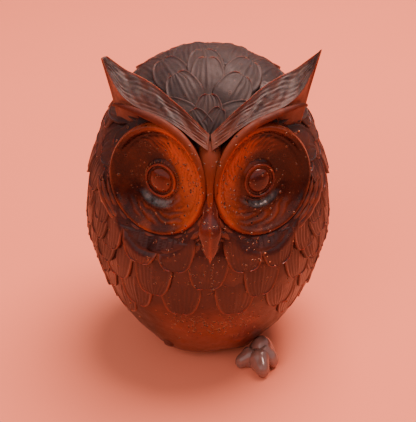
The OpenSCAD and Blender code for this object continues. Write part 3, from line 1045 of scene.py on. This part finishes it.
# each row's node and piece, the turn and the tip height of its feathers, and their lift
breast_rows = (
    (
        "breast_row_3", "breast_plumage_low",
        (
            (13, 17.4), (-13, 17.2), (38, 16.4), (-37, 16.6), (60, 17.4), (-60, 17.4), (50, 12.5),
            (-50, 12.5), (72, 12.0), (-72, 12.0),
        ),
        0.5,
    ),
    (
        "breast_row_2", "breast_plumage_middle",
        ((0.6, 24.0), (26, 21.2), (-26, 21.2), (47, 22.0), (-47, 22.0)), 0.8,
    ),
    (
        "breast_row_1", "breast_plumage_high",
        ((16.2, 27.2), (-14.8, 27.3), (34, 26.8), (-33.4, 27.4), (53, 27.5), (-53, 27.5)), 0.9,
    ),
)
for node, name, places, lift in breast_rows:
    bm = bmesh.new()
    for turn, tip in places:
        number += 1
        width = breast_width * random.Random(number).uniform(0.96, 1.05)
        # painted shade darkens the breast feathers towards the flanks, most on the owl's left
        lay_feather(
            bm, ring_point(turn, tip + breast_length), down_way, breast_length, width, lift * 0.75,
            barbs=9, cut=0.09, painted_sheen=0.05, rim=0.75, seed=number, grid=(36, 18),
            extra_dark=0.5 * ease(8, 45, turn) + 0.25 * ease(30, 60, -turn),
        )
    cast_piece(name, bm, breast_resin, "amber_plumage", node)

# ---- Wings ----
# Each folded wing bulges from the shoulder down the side, with rows of coverts over long flight feathers.
# They are cast with the body; the flight feathers' tips stand a little clear at the back.

wing_resin = amber_resin(
    "amber_resin_wing", ("#180b0c", "#210f10", "#432015", "#38261f"),
    roughness=0.42, coat=0.18, bubble=0.35, grain=0.12,
)
# the turn, the height of the root and the length of each flight feather, from front to back
flight_plan = (
    (64, 22.0, 15.0), (73, 19.5, 15.5), (82, 17.0, 15.5), (91, 15.0, 15.0), (100, 14.0, 14.0),
    (109, 13.5, 12.5),
)
# the tip height and the turns of each row of coverts; the lowest and highest rows are sunk a little
covert_rows = (
    (22.5, (62, 74, 86, 98, 110), 0.5), (26.5, (56, 68, 80, 92, 104, 116), 0.0),
    (30.0, (62, 74, 86, 98, 110), 0.0), (33.5, (68, 80, 92, 104), 0.5),
)
for side, word in both_sides:
    bm = bmesh.new()
    for order, (turn, root, length) in enumerate(flight_plan):
        # pressed flat at the widest part of the body
        pressed = ease(70, 84, turn) * (1 - ease(100, 112, turn))
        lay_feather(
            bm, ring_point(side * turn, root + 6.0), Vector((0.0, 0.42, -1.0)), length, 5.6,
            0.65 - 0.3 * pressed, bed=-0.2 * pressed, barbs=8, cut=0.22, painted_sheen=0.1, rim=0.7,
            blunt=0.42, seed=600 + order, narrow=0.9, grid=(26, 22), extra_dark=0.2,
        )
    cast_piece(word + "_flight_plumage", bm, wing_resin, "amber_plumage", word + "_flight_feathers")
    bm = bmesh.new()
    for row, (tip, turns, sunk) in enumerate(covert_rows):
        for order, turn in enumerate(turns):
            lay_feather(
                bm, ring_point(side * (turn - 3), tip + 6.5), Vector((0.0, 0.25, -1.0)), 8.6, 6.9, 0.75,
                bed=0.3 - sunk, barbs=7, cut=0.16, painted_sheen=0.12, rim=0.45, seed=700 + 20 * row + order,
                grid=(26, 14), extra_dark=0.2,
            )
    cast_piece(word + "_wing_coverts", bm, wing_resin, "amber_plumage", word + "_wing")

# ---- Back feathers and tail ----
# Broad feathers cover the back between the wings, and a short square tail of long feathers ends it.
# The tail's feathers lie side by side and stand out from the base.

bm = bmesh.new()
number = 900
for row, tip in enumerate((14.0, 18.5, 23.0, 27.5)):
    for place in range(-4, 5):
        turn = 180 + place * 15.0 + (7.5 if row % 2 else 0.0)
        number += 1
        lay_feather(
            bm, ring_point(turn, tip + 7.6), down_way, 8.6, 7.0, 1.0, bed=0.1, barbs=7, cut=0.22,
            painted_sheen=0.1, rim=0.5, seed=number, grid=(26, 14),
        )
cast_piece("back_plumage", bm, wing_resin, "amber_plumage", "back_feathers")

bm = bmesh.new()
for place, lift in ((-2, 1.6), (2, 1.6), (-1, 2.0), (1, 2.0), (0, 2.4)):
    lay_feather(
        bm, ring_point(180 + place * 8.5, 14.6), Vector((0, 0.12, -1)), 13.4, 4.6, lift, bed=0.8,
        barbs=8, cut=0.22, painted_sheen=0.1, rim=0.6, blunt=0.3, seed=950 + place, narrow=0.85, grid=(26, 24),
    )
for vert in bm.verts:
    vert.co.z = max(vert.co.z, base_edge)
cast_piece("tail_plumage", bm, wing_resin, "amber_plumage", "tail")

# ---- Foot ----
# The owl's left foot stands out under the body: a short shank and three blunt toes.
# It was poured with nearly clear resin; the right foot left only a stub in the mould.

foot_middle = Vector((9.5, -12.3, 0.0))
foot_gap = 0.05
shank_radius = 2.2
# each toe's turn from straight ahead in degrees, its length and its half width
toe_plan = {
    "left_inner_toe": (-62, 5.0, 2.0),
    "left_middle_toe": (11, 6.3, 2.3),
    "left_outer_toe": (62, 4.7, 2.4),
}

# clear casting resin: water-clear with a grey-pink cast, gloss from a polished mould
foot_resin, tree, place = start_material("clear_resin_foot")
haze = cloudy(tree, place, 420.0, 4.0)
give_surface(
    tree,
    {
        "Roughness": 0.16, "IOR": 1.54, "Coat Weight": 0.8, "Coat Roughness": 0.06,
        "Transmission Weight": 0.35, "Subsurface Weight": 0.3, "Subsurface Radius": (1.0, 0.6, 0.5),
        "Subsurface Scale": 0.001,
    },
    {"Base Color": blend(tree, haze, "#6a4034", "#a88378"), "Normal": bumped(tree, haze, 0.35, 0.0003)},
)


def unit_ball(around, up):
    """A mesh of a ball of radius 1, to be shaped."""
    bm = bmesh.new()
    bmesh.ops.create_uvsphere(bm, u_segments=around, v_segments=up, radius=1.0)
    return bm


for node, (turn, toe_length, toe_radius) in toe_plan.items():
    bm = unit_ball(32, 24)
    heading = math.radians(turn)
    way = Vector((math.sin(heading), -math.cos(heading), 0.0))
    side_way = Vector((-way.y, way.x, 0.0))
    for vert in bm.verts:
        x, y, z = vert.co
        taper = (1 - 0.30 * ease(0.0, 1.0, y)) * math.sqrt(1 + y * y)
        thick = toe_radius * taper * (1 + 0.10 * math.cos(y * 7))
        up = z * thick + toe_radius * 0.85 - 0.5 * ease(0.2, 1.0, y)
        if up < foot_gap:
            up = foot_gap + 0.02 * up
        vert.co = foot_middle + way * (y * 0.58 + 0.36) * toe_length + side_way * x * thick * 0.85
        vert.co.z += up
    cast_piece(node.replace("left_", "clear_"), bm, foot_resin, "clear_foot", node)

bm = unit_ball(32, 24)
for vert in bm.verts:
    x, y, z = vert.co
    # it spreads towards the toes and leans out and back
    spread = ease(-0.6, 0.7, -z)
    x = x * (shank_radius + spread) + 0.9
    y = y * (shank_radius + 0.9 * spread) + 0.5
    vert.co = foot_middle + Vector((x, y, max(z * 3.0 + 2.5, foot_gap)))
cast_piece("clear_shank", bm, foot_resin, "clear_foot", "left_leg")

stub_low, stub_high = [corner * 1000 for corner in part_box("right_foot_stub")]
bm = unit_ball(28, 20)
stub_middle = (stub_low + stub_high) / 2 + Vector((0.5, 0.9, 0.2))
stub_half = (stub_high - stub_low) / 2 * 0.85
tone = tone_layer(bm)
for vert in bm.verts:
    bump = 1 + 0.12 * noise.noise(vert.co * 1.7)
    vert.co = stub_middle + Vector([a * b * bump for a, b in zip(vert.co, stub_half)])
    # a little painted glow, painted shade and painted sheen
    vert[tone] = (0.2, 0.1, 0.2, 1.0)
cast_piece("foot_stub", bm, body_resin, "clear_foot", "right_foot_stub")

# ---- Air bubbles ----
# Air stirred into the pour rose to the mould's face and left round beads just under the skin.
# They crowd round one eye, below the beak and low on the belly, and lie loose over the face and breast.

bubble_resin = amber_resin(
    "amber_resin_bubble", ("#1c080c", "#2a0b0e", "#b06c48", "#8f8d90"),
    roughness=0.2, coat=0.4, bubble=0.0, grain=0.0,
)

points = []
faces = []
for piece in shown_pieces():
    if piece.type != "MESH" or piece.hide_render:
        continue
    first = len(points)
    points.extend(piece.matrix_world @ vert.co * 1000 for vert in piece.data.vertices)
    faces.extend([first + i for i in face.vertices] for face in piece.data.polygons)
skin = BVHTree.FromPolygons(points, faces)


def drop_bead(bm, from_point, toward, radius):
    """Sets one bead where a straight line meets the skin, two thirds sunk."""
    hit, normal = skin.ray_cast(from_point, toward)[:2]
    if hit is None:
        return
    tone = tone_layer(bm)
    seat = normal.to_track_quat("Z", "Y").to_matrix().to_4x4()
    seat.translation = hit - normal * radius * 0.35
    made = bmesh.ops.create_uvsphere(bm, u_segments=8, v_segments=6, radius=radius, matrix=seat)
    for vert in made["verts"]:
        # painted glow round the bead's foot and painted shade on its top, for the bright rim and dark middle
        # that light gives an air bubble
        high = (vert.co - seat.translation).dot(normal) / radius
        vert[tone] = (0.85 * (1 - ease(0.45, 0.85, high)), 0.9 * ease(0.6, 0.95, high), 0.0, 1.0)


string_beads = 34
string_radius = 3.32
luck = random.Random(11)
bm = bmesh.new()
for step in range(string_beads):
    turn = math.tau * step / string_beads + luck.uniform(-0.04, 0.04)
    spot = face_place(-1) @ Vector((string_radius * math.cos(turn), string_radius * math.sin(turn), 2.0))
    drop_bead(bm, spot, -(Matrix.Scale(-1, 3, (1, 0, 0)) @ dish_out), luck.uniform(0.14, 0.22))
for step in range(12):
    spot = Vector((0.8 + luck.uniform(-0.25, 0.25), -40.0, 29.0 - 0.55 * step))
    drop_bead(bm, spot, Vector((0, 1, 0)), luck.uniform(0.16, 0.25))
cast_piece("bubbles_in_strings", bm, bubble_resin, "amber_body")

# where they lie: name, how many, the middle and spread of their turn, then of their height, and their sizes
bubble_fields = (
    ("bubbles_over_face", 150, (0, 30), (42, 5), (0.13, 0.16, 0.20, 0.28)),
    ("bubbles_over_discs", 150, (5, 26), (45, 5), (0.12, 0.14, 0.17, 0.22)),
    ("bubbles_on_breast", 180, (0, 28), (28, 5), (0.13, 0.16, 0.20, 0.26)),
    ("bubbles_on_belly", 150, (4, 17), (13.5, 2.4), (0.14, 0.17, 0.22, 0.28)),
)
for name, count, turns, heights, sizes in bubble_fields:
    bm = bmesh.new()
    for step in range(count):
        turn = min(max(luck.gauss(*turns), -62), 62)
        out = ring_point(turn, min(max(luck.gauss(*heights), 3), 51))
        inward = -Vector((out.x, out.y, 0))
        drop_bead(bm, out - inward * 0.6, inward, luck.choice(sizes))
    cast_piece(name, bm, bubble_resin, "amber_body")
